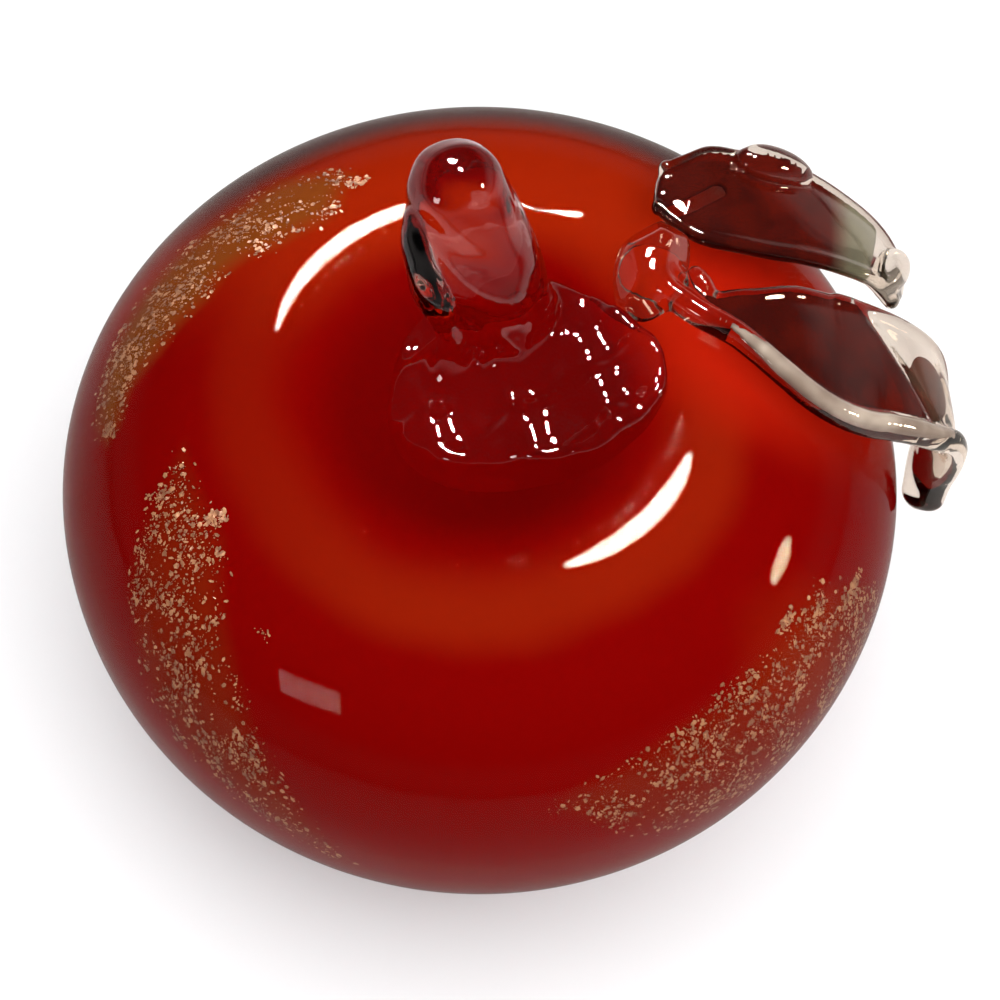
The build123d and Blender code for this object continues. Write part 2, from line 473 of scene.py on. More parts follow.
gold_azimuth_share = 2.0
gold_least_share = 0.15
gold_crumple_share = 5.0
gold_haze = {"gold_leaf_back_left": 0.7, "gold_leaf_front_left": 0.14, "gold_leaf_front_right": 0.12}
gold_outlines = {
    "gold_leaf_back_left": [
        (113.4, 61.2), (117.8, 51.1), (125.6, 41.6), (135.7, 39.2), (146.8, 31.6), (157.9, 25.8),
        (167.3, 22), (177.5, 22.8), (182.8, 31.2), (180, 39.9), (174.4, 43), (168, 52.8), (162.7, 56.5),
        (156.4, 62.3), (149.9, 63.1), (144, 66.5), (139.5, 71.8), (127.5, 75.7), (122, 73.9), (117.5, 65.6),
    ],
    "gold_leaf_front_left": [
        (-174.4, 63.9), (-167.3, 53.5), (-162, 41.7), (-156.1, 25.9), (-149.7, 13), (-142.7, 0.5),
        (-134.1, -7.3), (-123.7, -11.5), (-114.7, -19.8), (-105.7, -20.7), (-115.7, 4.9), (-123.9, 24.9),
        (-131.6, 42), (-139.4, 53.9), (-148.1, 65.5), (-159, 66.1),
    ],
    "gold_leaf_front_right": [
        (-80, 19.1), (-79.4, 12.3), (-73.2, 0), (-60.8, -16), (-48, -19.5), (-33, -17.8), (-20, -12.8),
        (-13.3, -6.2), (-21.2, 19.3), (-26.6, 33.4), (-34.5, 33.4), (-46.2, 34.3), (-58.4, 32), (-69, 27.5),
        (-75.3, 24.6),
    ],
}
gold_crumples = {
    "gold_leaf_back_left": [
        (179.5, 33.2, 1.4, 3.2), (115.7, 64.1, 2.6, 1.8), (124.3, 70.2, 2.5, 2), (132.1, 69.7, 2, 2),
    ],
    "gold_leaf_front_left": [
        (-164.3, 49.6, 1.4, 4), (-153.6, 64.8, 1.5, 4), (-130.6, 52.1, 1.4, 1.8), (-167, 57.8, 1.2, 3),
    ],
    "gold_leaf_front_right": [
        (-77.8, 14.2, 2.2, 1.6), (-35.3, 33.9, 2.2, 1.8), (-22.1, 14.9, 3, 2), (-29.1, 24.7, 2, 1.6),
    ],
}


def inside_outline(outline, places):
    """Which places lie inside a closed outline, and how far from it."""
    corners = np.array(outline)
    ends = np.roll(corners, -1, axis=0)
    inside = np.zeros(len(places), bool)
    distance = np.full(len(places), np.inf)
    for (x_1, y_1), (x_2, y_2) in zip(corners, ends):
        level = (y_1 > places[:, 1]) != (y_2 > places[:, 1])
        reach = (x_2 - x_1) * (places[:, 1] - y_1) / (y_2 - y_1 if y_2 != y_1 else 1) + x_1
        inside ^= level & (places[:, 0] < reach)
        run = np.array([x_2 - x_1, y_2 - y_1])
        share = np.clip(((places - (x_1, y_1)) @ run) / (run @ run), 0, 1)
        distance = np.minimum(distance, np.linalg.norm(places - (x_1, y_1) - share[:, None] * run, axis=1))
    return inside, distance


def red_point(azimuth, rise):
    """Point just above the red layer at an azimuth and a rise in degrees, in millimetres."""
    side, crown, _, base = [depth / mm for depth in casing_depths]
    radius, top, girth, crown_reach, _ = apple_sizes
    tall = np.where(rise >= 0, top - crown - girth, girth - base)
    flat = np.where(rise >= 0, crown_reach, base_radius / mm - base)
    lift = np.radians(rise)
    reach = flat + (radius - side - flat) * np.cos(lift) + gold_lift * np.cos(lift)
    turn = np.radians(azimuth)
    height = girth + (tall + gold_lift) * np.sin(lift)
    return np.stack([reach * np.cos(turn), reach * np.sin(turn), height], -1)


def leaf_cover(name, places, least, edge_width):
    """Share of leaf left at the given azimuths and rises, thinning towards the strip's torn edge."""
    stretch = np.array([gold_azimuth_share, 1])
    inside, edge = inside_outline(np.array(gold_outlines[name]) * stretch, places * stretch)
    return np.where(inside, np.clip(edge / edge_width, least, 1), 0)


def gold_seat(name, piece_name):
    """Patch of the red layer that one strip of leaf covers, and more of it where the leaf is crumpled."""
    corners = np.array(gold_outlines[name])
    low, high = corners.min(0) - gold_edge, corners.max(0) + gold_edge
    azimuths = np.arange(low[0], high[0], gold_grid)
    rises = np.arange(low[1], min(high[1], gold_highest_rise), gold_grid)
    grid = np.stack(np.meshgrid(azimuths, rises, indexing="ij"), -1).reshape(-1, 2)
    share = leaf_cover(name, grid, gold_least_share, gold_edge)
    for azimuth, rise, half_azimuth, half_rise in gold_crumples[name]:
        gap = np.hypot((grid[:, 0] - azimuth) / half_azimuth, (grid[:, 1] - rise) / half_rise)
        share = np.maximum(share, gold_crumple_share * (gap < 1))
    rows = len(rises)
    faces = []
    for i in range(len(azimuths) - 1):
        for j in range(rows - 1):
            face = (i * rows + j, (i + 1) * rows + j, (i + 1) * rows + j + 1, i * rows + j + 1)
            if share[list(face)].max() > 0:
                faces.append(face)
    seat = mesh_object(piece_name, red_point(grid[:, 0], grid[:, 1]) * mm, faces, gold)
    kept_values(seat, "leaf_share", share)
    return seat


def kept_values(piece, name, values):
    """Keeps one value for each corner of a piece under a name."""
    layer = piece.data.attributes.new(name, "FLOAT", "POINT")
    layer.data.foreach_set("value", np.asarray(values, np.float32))


def corner_places(piece):
    """Corners of a piece, in millimetres."""
    return np.array([v.co[:] for v in piece.data.vertices]) / mm


def dust_red():
    """Golden haze of the finest leaf on the red layer, kept on its corners."""
    points = corner_places(red)
    azimuth = np.degrees(np.arctan2(points[:, 1], points[:, 0]))
    _, crown, _, base = [depth / mm for depth in casing_depths]
    _, top, girth, crown_reach, _ = apple_sizes
    level = (points[:, 2] - girth) / np.where(points[:, 2] >= girth, top - crown - girth, girth - base)
    rise = np.degrees(np.arcsin(np.clip(level, -1, 1)))
    outer = np.hypot(points[:, 0], points[:, 1]) > crown_reach
    dust = np.zeros(len(points))
    for name, haze in gold_haze.items():
        for turn in (0, 360):
            cover = leaf_cover(name, np.stack([azimuth + turn, rise], -1), 0, gold_haze_edge)
            dust = np.maximum(dust, haze * cover * outer)
    kept_values(red, "gold_dust", dust)


def beaten_gold():
    """Bright beaten gold, duller in random patches; the real leaf is duller where it is crumpled."""
    material, tree = node_material("beaten_gold")
    place = added(tree, "ShaderNodeTexCoord").outputs["Object"]
    mottle = added(tree, "ShaderNodeTexNoise", {"Scale": gold_mottle_scale, "Vector": place})
    share = fade(tree, mottle.outputs["Fac"], *gold_mottle_fade)
    shader = added(tree, "ShaderNodeBsdfPrincipled", {
        "Base Color": blended(tree, share, gold_dull, gold_bright),
        "Metallic": gold_metal, "Roughness": gold_roughness,
    })
    added(tree, "ShaderNodeOutputMaterial", {"Surface": shader.outputs["BSDF"]})
    return material


def gold_scatter():
    """Node tree that scatters flecks over a seat, thick where its share of leaf is high."""
    tree = bpy.data.node_groups.new("gold_scatter", "GeometryNodeTree")
    sockets = {}
    tree.interface.new_socket("Geometry", in_out="INPUT", socket_type="NodeSocketGeometry")
    for name, kind in (
        ("Flecks per area", "NodeSocketFloat"), ("Least width", "NodeSocketFloat"),
        ("Greatest width", "NodeSocketFloat"), ("Thickness", "NodeSocketFloat"),
        ("Torn edge", "NodeSocketFloat"), ("Clump scale", "NodeSocketFloat"),
        ("Seed", "NodeSocketInt"), ("Leaf", "NodeSocketMaterial"),
    ):
        sockets[name] = tree.interface.new_socket(name, in_out="INPUT", socket_type=kind).identifier
    tree.interface.new_socket("Geometry", in_out="OUTPUT", socket_type="NodeSocketGeometry")
    given = added(tree, "NodeGroupInput").outputs
    share = added(tree, "GeometryNodeInputNamedAttribute", {"Name": "leaf_share"}, data_type="FLOAT")
    clumps = added(tree, "ShaderNodeTexNoise", {"Scale": given["Clump scale"]})
    gathered = fade(tree, clumps.outputs["Fac"], *gold_clump_fade, gold_clump_least, 1)
    density = maths(tree, "MULTIPLY", share.outputs["Attribute"], gathered)
    scatter = added(tree, "GeometryNodeDistributePointsOnFaces", {
        "Mesh": given["Geometry"], "Seed": given["Seed"],
        "Density": maths(tree, "MULTIPLY", density, given["Flecks per area"]),
    })
    fleck = added(tree, "GeometryNodeMeshCylinder", {"Vertices": gold_fleck_sides, "Radius": 0.5, "Depth": 1})
    spin = added(tree, "FunctionNodeRandomValue", {
        "Min": (-gold_tilt, -gold_tilt, 0), "Max": (gold_tilt, gold_tilt, 2 * math.pi),
    }, data_type="FLOAT_VECTOR")
    turn = added(tree, "FunctionNodeEulerToRotation", {"Euler": spin.outputs["Value"]})
    seated = added(tree, "FunctionNodeRotateRotation", {
        "Rotation": scatter.outputs["Rotation"], "Rotate By": turn.outputs["Rotation"],
    }, rotation_space="LOCAL")
    size = added(tree, "FunctionNodeRandomValue", {"Seed": given["Seed"]}, data_type="FLOAT")
    small = maths(tree, "POWER", size.outputs[1], gold_size_power)
    span = maths(tree, "SUBTRACT", given["Greatest width"], given["Least width"])
    width = maths(tree, "MULTIPLY_ADD", small, span, given["Least width"])
    slim = added(tree, "FunctionNodeRandomValue", {2: gold_slimmest_share, 3: 1}, data_type="FLOAT")
    scale = added(tree, "ShaderNodeCombineXYZ", {
        "X": width, "Y": maths(tree, "MULTIPLY", width, slim.outputs[1]), "Z": given["Thickness"],
    })
    placed = added(tree, "GeometryNodeInstanceOnPoints", {
        "Points": scatter.outputs["Points"], "Instance": fleck.outputs["Mesh"],
        "Rotation": seated.outputs["Rotation"], "Scale": scale.outputs["Vector"],
    })
    real = added(tree, "GeometryNodeRealizeInstances", {"Geometry": placed.outputs["Instances"]})
    tear = added(tree, "ShaderNodeTexNoise", {"Scale": gold_torn_scale}).outputs["Color"]
    centred = added(tree, "ShaderNodeVectorMath", {0: tear, 1: (0.5, 0.5, 0.5)}, operation="SUBTRACT")
    pulled = added(tree, "ShaderNodeVectorMath", {
        0: centred.outputs["Vector"], "Scale": given["Torn edge"],
    }, operation="SCALE")
    torn = added(tree, "GeometryNodeSetPosition", {
        "Geometry": real.outputs["Geometry"], "Offset": pulled.outputs["Vector"],
    })
    finish = added(tree, "GeometryNodeSetMaterial", {
        "Geometry": torn.outputs["Geometry"], "Material": given["Leaf"],
    })
    added(tree, "NodeGroupOutput", {"Geometry": finish.outputs["Geometry"]})
    return tree, sockets


gold = beaten_gold()
scatter_tree, scatter_sockets = gold_scatter()
dust_red()
for gold_name in gold_outlines:
    gold_patch = gold_seat(gold_name, gold_name + "_flecks")
    gold_modifier = gold_patch.modifiers.new("scatter", "NODES")
    gold_modifier.node_group = scatter_tree
    for socket_name, socket_value in (
        ("Flecks per area", gold_per_area[gold_name]), ("Least width", gold_widths[0]),
        ("Greatest width", gold_widths[1]), ("Thickness", gold_thickness), ("Torn edge", gold_torn),
        ("Clump scale", gold_clump_scale), ("Seed", gold_seed), ("Leaf", gold),
    ):
        gold_modifier[scatter_sockets[socket_name]] = socket_value
    bpy.context.view_layer.update()
    evaluated = gold_patch.evaluated_get(bpy.context.evaluated_depsgraph_get())
    gold_mesh = bpy.data.meshes.new_from_object(evaluated)
    gold_patch.modifiers.clear()
    gold_patch.data = gold_mesh
    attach(gold_patch, "root")
    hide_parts(gold_name)

# Clear casing: the last gather of colourless glass, blown over the red and the gold leaf.
# It is turned and blocked to the apple's form, pressed in at the crown, and its base ground flat.
casing_sides = 480
casing_contact = 0.4 * mm
casing_mirror = (0.34, 0.32, 0.30, 1)
casing_sheen_index = 1.25
# Inside this radius the mirror colour is nearly black, which hides the reflections in the dimple.
dimple_edge = (31.0 * mm, 31.6 * mm)
dimple_sheen_share = 0.04


def casing_glass():
    """Thick clear glass; a grey mirror colour dims the room in its polish, and a nearly black one in the
    dimple hides its reflections there.
    """
    material, tree = node_material("casing_glass")
    through = added(tree, "ShaderNodeBsdfRefraction", {"Roughness": 0, "IOR": glass_index})
    place = added(tree, "ShaderNodeTexCoord").outputs["Object"]
    sheen = fade(tree, axis_distance(tree, place), *dimple_edge, dimple_sheen_share, 1)
    mirror = added(tree, "ShaderNodeBsdfAnisotropic", {
        "Color": blended(tree, sheen, (0, 0, 0, 1), casing_mirror), "Roughness": 0,
    })
    share = added(tree, "ShaderNodeFresnel", {"IOR": casing_sheen_index}).outputs["Fac"]
    polish = added(tree, "ShaderNodeMixShader", {
        "Fac": share, 1: through.outputs["BSDF"], 2: mirror.outputs["BSDF"],
    })
    glass_surface(tree, polish.outputs["Shader"])
    return material


casing_skin = turned(apple_profile((0, 0, 0, 0)), casing_sides)
casing_wall_depths = [depth + casing_contact for depth in casing_depths]
casing_wall = turned(apple_profile(casing_wall_depths, back_step_share), back_sides)
casing = mesh_object("clear_casing_glass", *shell(casing_skin, casing_wall), casing_glass())
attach(casing, "root")
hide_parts("clear_casing")

# Stem: a hot bit of clear glass dropped into the dimple, drawn up and let lean back.
# Its foot spread over the dimple's floor, and a second strand ran down its left side.
# From here on, places and sizes are in millimetres until a piece gets its mesh.
stem_step = 0.6
stem_tint = (0.94, 0.84, 0.82, 1)
stem_root = (6.0, 8.0, 62.0)
stem_rise = 34.5
stem_lean = (-9.4, 12.3)
stem_radius = 9.3
stem_station_shares = [
    (0.00, 0.00, 1.35),
    (0.15, 0.05, 1.10),
    (0.29, 0.12, 0.88),
    (0.46, 0.33, 0.86),
    (0.64, 0.55, 0.93),
    (0.81, 0.79, 0.90),
    (1.00, 1.00, 0.80),
]
stem_chain_steps = 40
stem_margin = Vector((4, 4, 4))
strand_radius = 3.1
strand_path = [
    (-9.2, 16.6, 94.5),
    (-8.4, 13.6, 90.0),
    (-6.8, 10.6, 85.0),
    (-4.6, 8.0, 80.0),
    (-3.4, 5.6, 74.5),
    (-5.6, 3.6, 69.0),
]
strand_shares = (0.72, 1.0, 1.1, 0.92, 0.95, 1.35)
foot_radius = 28.0
foot_height = 73.4
foot_tilt = math.radians(12)
foot_bottom = 52.0
foot_roundness = 2.2
foot_under_roundness = 1.0
foot_outline_shares = [
    (0, 1.00),
    (30, 0.86),
    (60, 0.75),
    (90, 0.67),
    (120, 0.62),
    (155, 0.51),
    (200, 0.50),
    (240, 0.47),
    (270, 0.46),
    (300, 0.54),
    (330, 0.80),
]
foot_waves = [(0.50, 0.47, 0.21, 0.4), (0.32, -0.36, 0.62, 2.1), (0.16, 0.95, 0.33, 4.0)]
fillet_softness = 3.0
strand_softness = 1.1
ripple_depth = 0.15
ripple_ways = ((0.5, 0, 0.9), (0, 0.7, -0.4))
foot_ripple_depth = 0.02
foot_ripple_ways = ((1.5, 0.8, 0), (-0.6, 1.3, 0))
foot_ripple_fade = (74.0, 84.0)
skin_coarse = 4
skin_rounds = 4
skin_nudge_share = 0.05
skin_least_slope = 0.05


def smooth_least(first, second, softness):
    """The lesser of two fields, with a rounded inner corner."""
    gap = np.clip(0.5 + 0.5 * (second - first) / softness, 0, 1)
    return second * (1 - gap) + first * gap - softness * gap * (1 - gap)


def smooth_most(first, second, softness):
    """The greater of two fields, with a rounded edge."""
    return -smooth_least(-first, -second, softness)


def eased(table, at):
    """Smooth values at given places of a table of (place, value, ...) rows."""
    table = np.asarray(table, float)
    place, values = table[:, 0], table[:, 1:]
    slope = np.gradient(values, place, axis=0)
    i = np.clip(np.searchsorted(place, at) - 1, 0, len(place) - 2)
    span = (place[i + 1] - place[i])[:, None]
    t = np.clip((at - place[i]) / span[:, 0], 0, 1)[:, None]
    start, end = values[i], values[i + 1]
    return (
        start * (2 * t ** 3 - 3 * t ** 2 + 1)
        + end * (3 * t ** 2 - 2 * t ** 3)
        + slope[i] * span * (t ** 3 - 2 * t ** 2 + t)
        + slope[i + 1] * span * (t ** 3 - t ** 2)
    )


def rod(points, centres, radii):
    """Distance from a round rod through the given centres, whose thickness varies."""
    least = np.full(len(points), np.inf)
    for a, b, r_a, r_b in zip(centres[:-1], centres[1:], radii[:-1], radii[1:]):
        along = b - a
        t = np.clip((points - a) @ along / (along @ along), 0, 1)
        gap = np.linalg.norm(points - a - t[:, None] * along, axis=1) - (r_a + (r_b - r_a) * t)
        least = np.minimum(least, gap)
    return least


def apple_field(points):
    """Rough distance from the apple's outer form, negative inside."""
    radius, top, girth, crown, floor = apple_sizes
    reach = np.hypot(points[:, 0], points[:, 1])
    side = np.array([hollow_point(i / hollow_steps, crown, floor, top) for i in range(hollow_steps + 1)])
    hollow = points[:, 2] - np.interp(reach, side[:, 0], side[:, 1])
    wide, tall = radius - crown, top - girth
    out = np.maximum(reach - crown, 0)
    level = np.hypot(out / wide, (points[:, 2] - girth) / tall)
    shoulder = (level - 1) * tall
    return np.where(reach < crown, hollow, shoulder)


def lattice_values(field, grid, step):
    """Field on a lattice, worked out in full only near its zero and roughly elsewhere."""
    counts = grid.shape[:3]
    rough = field(grid[::skin_coarse, ::skin_coarse, ::skin_coarse].reshape(-1, 3))
    rough = rough.reshape([n // skin_coarse + 1 for n in counts])
    value = rough[np.ix_(*[np.rint(np.arange(n) / skin_coarse).astype(int) for n in counts])]
    near = np.abs(value) < (skin_coarse + 2) * step
    value[near] = field(grid[near])
    return value


def grown_skin(field, low, high, step):
    """Corners and faces of the closed surface on which a field is zero, on an even lattice."""
    counts = [int(math.ceil((b - a) / step / skin_coarse)) * skin_coarse + 1 for a, b in zip(low, high)]
    axes = [a + step * np.arange(n) for a, n in zip(low, counts)]
    grid = np.stack(np.meshgrid(*axes, indexing="ij"), -1)
    inside = lattice_values(field, grid, step) < 0
    count = sum(
        inside[i:counts[0] - 1 + i, j:counts[1] - 1 + j, k:counts[2] - 1 + k].astype(int)
        for i in (0, 1) for j in (0, 1) for k in (0, 1)
    )
    mixed = (count > 0) & (count < 8)
    number = np.full(mixed.shape, -1)
    number[mixed] = np.arange(mixed.sum())
    corners = grid[:-1, :-1, :-1][mixed] + step / 2
    quads = []
    for axis in range(3):
        cells = np.moveaxis(number, axis, 0)
        lattice = np.moveaxis(inside, axis, 0)
        start, end = lattice[:-1, 1:-1, 1:-1], lattice[1:, 1:-1, 1:-1]
        around = [cells[:, :-1, :-1], cells[:, 1:, :-1], cells[:, 1:, 1:], cells[:, :-1, 1:]]
        if axis == 1:
            around.reverse()
        leaving, entering = start & ~end, ~start & end
        quads.append(np.stack([c[leaving] for c in around], -1))
        quads.append(np.stack([c[entering] for c in reversed(around)], -1))
    faces = np.concatenate(quads)
    return settled(field, corners, faces, step), faces


def settled(field, corners, faces, step):
    """Corners evened out and moved onto the surface on which a field is zero."""
    edges = np.concatenate([faces[:, [i, (i + 1) % 4]] for i in range(4)])
    edges = np.concatenate([edges, edges[:, ::-1]])
    ties = np.bincount(edges[:, 0], minlength=len(corners))[:, None]
    nudge = skin_nudge_share * step
    for turn in range(skin_rounds + 1):
        if turn < skin_rounds:
            middle = [np.bincount(edges[:, 0], corners[edges[:, 1], k], len(corners)) for k in range(3)]
            corners = (corners + np.stack(middle, -1) / ties) / 2
        level = field(corners)
        slope = np.stack([field(corners + nudge * axis) - level for axis in np.eye(3)], -1) / nudge
        move = slope * (level / np.maximum((slope ** 2).sum(1), skin_least_slope))[:, None]
        size = np.linalg.norm(move, axis=1)[:, None]
        corners = corners - move * np.minimum(1, step / np.maximum(size, nudge))
    return corners


def rippled(points, ways):
    """Two crossing waves, each given as radians for every millimetre along X, Y and Z."""
    return np.sin(points @ np.array(ways[0])) * np.sin(points @ np.array(ways[1]))


def foot_field(points):
    """Foot of the stem, which fills the dimple up to its wavy top."""
    turn = np.degrees(np.arctan2(points[:, 1], points[:, 0])) % 360
    ring = [(a - 360, s) for a, s in foot_outline_shares[-3:]] + foot_outline_shares
    ring = ring + [(a + 360, s) for a, s in foot_outline_shares[:3]]
    edge = np.hypot(points[:, 0], points[:, 1]) - foot_radius * eased(ring, turn)[:, 0]
    top = foot_height + math.tan(foot_tilt) * points[:, 0]
    for depth, across, along, start in foot_waves:
        top = top + depth * np.sin(across * points[:, 0] + along * points[:, 1] + start)
    foot = smooth_most(edge, points[:, 2] - top, foot_roundness)
    return smooth_most(foot, foot_bottom - points[:, 2], foot_under_roundness)


def stem_field(points):
    """Stem, its left strand and its foot, negative inside."""
    at = np.linspace(0, 1, stem_chain_steps)
    lean, size = eased(stem_station_shares, at).T
    centres = np.stack([
        stem_root[0] + stem_lean[0] * lean,
        stem_root[1] + stem_lean[1] * lean,
        stem_root[2] + stem_rise * at,
    ], -1)
    stalk = rod(points, centres, stem_radius * size)
    rows = [(i / (len(strand_path) - 1), *p, s) for i, (p, s) in enumerate(zip(strand_path, strand_shares))]
    strand = eased(rows, at)
    side = rod(points, strand[:, :3], strand_radius * strand[:, 3])
    whole = smooth_least(stalk, side, strand_softness)
    whole = smooth_least(whole, foot_field(points), fillet_softness)
    low, high = foot_ripple_fade
    near_foot = np.clip((high - points[:, 2]) / (high - low), 0, 1)
    whole = whole + ripple_depth * rippled(points, ripple_ways)
    return whole + foot_ripple_depth * near_foot * rippled(points, foot_ripple_ways)


def fused(piece, *fields):
    """Keeps how deep each corner of a piece lies in the glass that it is fused to."""
    points = corner_places(piece)
    kept_values(piece, "fused_depth", -np.min([field(points) for field in fields], axis=0))


stem_low, stem_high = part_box("stem")
stem_corners, stem_faces = grown_skin(
    stem_field, stem_low / mm - stem_margin, stem_high / mm + stem_margin, stem_step
)
stem = mesh_object("leaning_stem", stem_corners * mm, stem_faces, clear_glass("stem_glass", stem_tint))
fused(stem, apple_field)
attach(stem, "root")
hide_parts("stem")

# Front leaf: a bit of clear glass over a smoky plum core, pinched to a knot on the crown.
# It was drawn out over the shoulder, pressed flat with a thick rolled rim, and its tip curled down.
leaf_step = 0.42
leaf_tint = (0.85, 0.79, 0.73, 1)
leaf_samples = 120
leaf_batch = 20000
leaf_margin = Vector((3, 3, 3))
front_leaf_width = 24.0
front_leaf_thickness = 6.0
front_leaf_roll = math.radians(0)
front_leaf_station_shares = [
    (29.0, 89.0, 0.45, 0.25, 0.80),
    (19.0, 85.0, 0.50, 0.24, 0.75),
    (14.0, 74.5, 0.42, 0.48, 0.85),
    (10.4, 63.0, 0.36, 0.82, 0.95),
    (7.6, 51.0, 0.36, 1.02, 1.00),
    (7.2, 38.0, 0.60, 1.02, 1.00),
    (6.6, 28.0, 1.05, 0.97, 1.00),
    (6.0, 18.0, 1.45, 0.84, 1.00),
    (4.8, 8.5, 1.30, 0.68, 1.20),
    (3.0, 0.5, 1.02, 0.54, 1.45),
    (0.6, -4.5, 0.85, 0.36, 1.30),
]
front_blade_share = 0.72
front_dish = 0.8
front_beads = [(1, 1.9, 0.9), (-1, 1.4, 0.2)]
bead_softness = 0.9
bead_most_share = 0.98
round_least_slope = 0.02
crease_place = (43.0, 0.6)
crease_depth = 0.7
crease_width = 0.7
knot_place = (36.0, 89.0)
knot_heading = math.radians(72)
knot_size = (19.0, 11.0, 9.0)
knot_lift = 2.0
undercut_height = 0.3
undercut_radius = 3.5
knot_softness = 1.6
knot_facets = [
    (0.50, 0.60, 0.62, 5.0),
    (-0.60, -0.35, 0.72, 5.4),
    (0.10, -0.80, 0.60, 4.2),
    (0.75, -0.20, 0.63, 6.3),
    (-0.35, 0.70, 0.62, 4.6),
]
facet_softness = 0.35
spur_place = (33.6, 15.2, 77.6)
spur_size = (3.4, 7.6, 4.6)
spur_turn = math.radians(-24)
spur_softness = 0.8


def apple_skin(azimuth, rise):
    """Point of the apple's outer form and the direction outward, from 0 degrees at the girth."""
    turn, lift = math.radians(azimuth), math.radians(rise)
    radius, top, girth, crown, _ = apple_sizes
    if rise >= 0:
        centre, height = crown, top - girth
    else:
        centre, height = base_radius / mm, girth
    reach = radius - centre
    away = Vector((math.cos(turn), math.sin(turn), 0))
    point = away * (centre + reach * math.cos(lift)) + Vector((0, 0, girth + height * math.sin(lift)))
    outward = away * (math.cos(lift) / reach) + Vector((0, 0, math.sin(lift) / height))
    return np.array(point), np.array(outward.normalized())


def leaf_spine(stations, width, thickness, roll):
    """Even samples along a leaf: its length, centre, way ahead, across and up, and its half sizes."""
    rows = []
    length = 0
    for azimuth, rise, lift, wide, thick in stations:
        point, outward = apple_skin(azimuth, rise)
        centre = point + outward * lift * thickness
        if rows:
            length += np.linalg.norm(centre - rows[-1][1:4])
        rows.append((length, *centre, *outward, wide * width / 2, thick * thickness / 2))
    at = np.linspace(0, length, leaf_samples)
    values = eased(rows, at)
    centre, outward = values[:, :3], values[:, 3:6]
    ahead = np.gradient(centre, axis=0)
    ahead /= np.linalg.norm(ahead, axis=1)[:, None]
    front = np.cross(ahead, outward)
    front /= np.linalg.norm(front, axis=1)[:, None]
    up = np.cross(front, ahead)
    across = front * math.cos(roll) - up * math.sin(roll)
    above = up * math.cos(roll) + front * math.sin(roll)
    half = values[:, 6:8]
    return {"at": at, "centre": centre, "ahead": ahead, "across": across, "above": above, "half": half}


def leaf_place(points, spine):
    """Where points lie along, across and above a leaf, how far past its ends, and its half sizes there."""
    nearest = np.empty(len(points), int)
    for start in range(0, len(points), leaf_batch):
        part = points[start:start + leaf_batch]
        gaps = ((part[:, None, :] - spine["centre"][None]) ** 2).sum(-1)
        nearest[start:start + leaf_batch] = gaps.argmin(1)
    gap = points - spine["centre"][nearest]
    raw = spine["at"][nearest] + (gap * spine["ahead"][nearest]).sum(1)
    along = np.clip(raw, 0, spine["at"][-1])
    across = (gap * spine["across"][nearest]).sum(1)
    above = (gap * spine["above"][nearest]).sum(1)
    wide = np.interp(along, spine["at"], spine["half"][:, 0])
    thick = np.interp(along, spine["at"], spine["half"][:, 1])
    return along, across, above, raw - along, wide, thick


def flat_round(offsets, halves):
    """Rough distance from an ellipsoid with the given half sizes."""
    first = np.sqrt(sum((offset / half) ** 2 for offset, half in zip(offsets, halves)))
    second = np.sqrt(sum((offset / half ** 2) ** 2 for offset, half in zip(offsets, halves)))
    return first * (first - 1) / np.maximum(second, round_least_slope)


def leaf_blade(points, spine, blade_share, dish, beads, crease=None):
    """Dished blade with rolled rims and perhaps a crease; each bead is (side, radius, rise)."""
    along, across, above, past, wide, thick = leaf_place(points, spine)
    sunk = above + dish * (1 - np.clip(across / wide, -1, 1) ** 2)
    if crease:
        gap = (along - crease[0] - crease[1] * across) / crease_width
        sunk = sunk + crease_depth * np.exp(-gap ** 2)
    blade = flat_round((across, sunk, past), (wide, thick * blade_share, thick * blade_share))
    for side, radius, rise in beads:
        size = np.minimum(radius, thick * bead_most_share)
        middle = np.maximum(wide - size, 0)
        bead = np.sqrt((across - side * middle) ** 2 + (above - rise) ** 2 + past ** 2) - size
        blade = smooth_least(blade, bead, bead_softness)
    return blade


front_spine = leaf_spine(front_leaf_station_shares, front_leaf_width, front_leaf_thickness, front_leaf_roll)


def knot_field(points):
    """Pinched end of the front leaf on the crown."""
    point, outward = apple_skin(*knot_place)
    ahead = np.array([math.cos(knot_heading), math.sin(knot_heading), 0])
    ahead = ahead - outward * (ahead @ outward)
    ahead /= np.linalg.norm(ahead)
    gap = points - point - outward * knot_lift
    offsets = (gap @ ahead, gap @ np.cross(outward, ahead), gap @ outward)
    knot = flat_round(offsets, [size / 2 for size in knot_size])
    for first, second, third, depth in knot_facets:
        facet = first * offsets[0] + second * offsets[1] + third * offsets[2] - depth
        knot = smooth_most(knot, facet, facet_softness)
    held = np.hypot(offsets[0], offsets[1]) - undercut_radius
    return smooth_most(knot, np.minimum(undercut_height - apple_field(points), held), facet_softness)


def spur_field(points):
    """Fin of glass that the jacks pinched up beside the leaf's neck."""
    gap = points - np.array(spur_place)
    turn, side = math.cos(spur_turn), math.sin(spur_turn)
    offsets = (gap[:, 0] * turn - gap[:, 1] * side, gap[:, 0] * side + gap[:, 1] * turn, gap[:, 2])
    return flat_round(offsets, [size / 2 for size in spur_size])


def front_leaf_field(points):
    """Front leaf with its knot, negative inside."""
    blade = leaf_blade(points, front_spine, front_blade_share, front_dish, front_beads, crease_place)
    leaf = smooth_least(blade, knot_field(points), knot_softness)
    return smooth_least(leaf, spur_field(points), spur_softness)


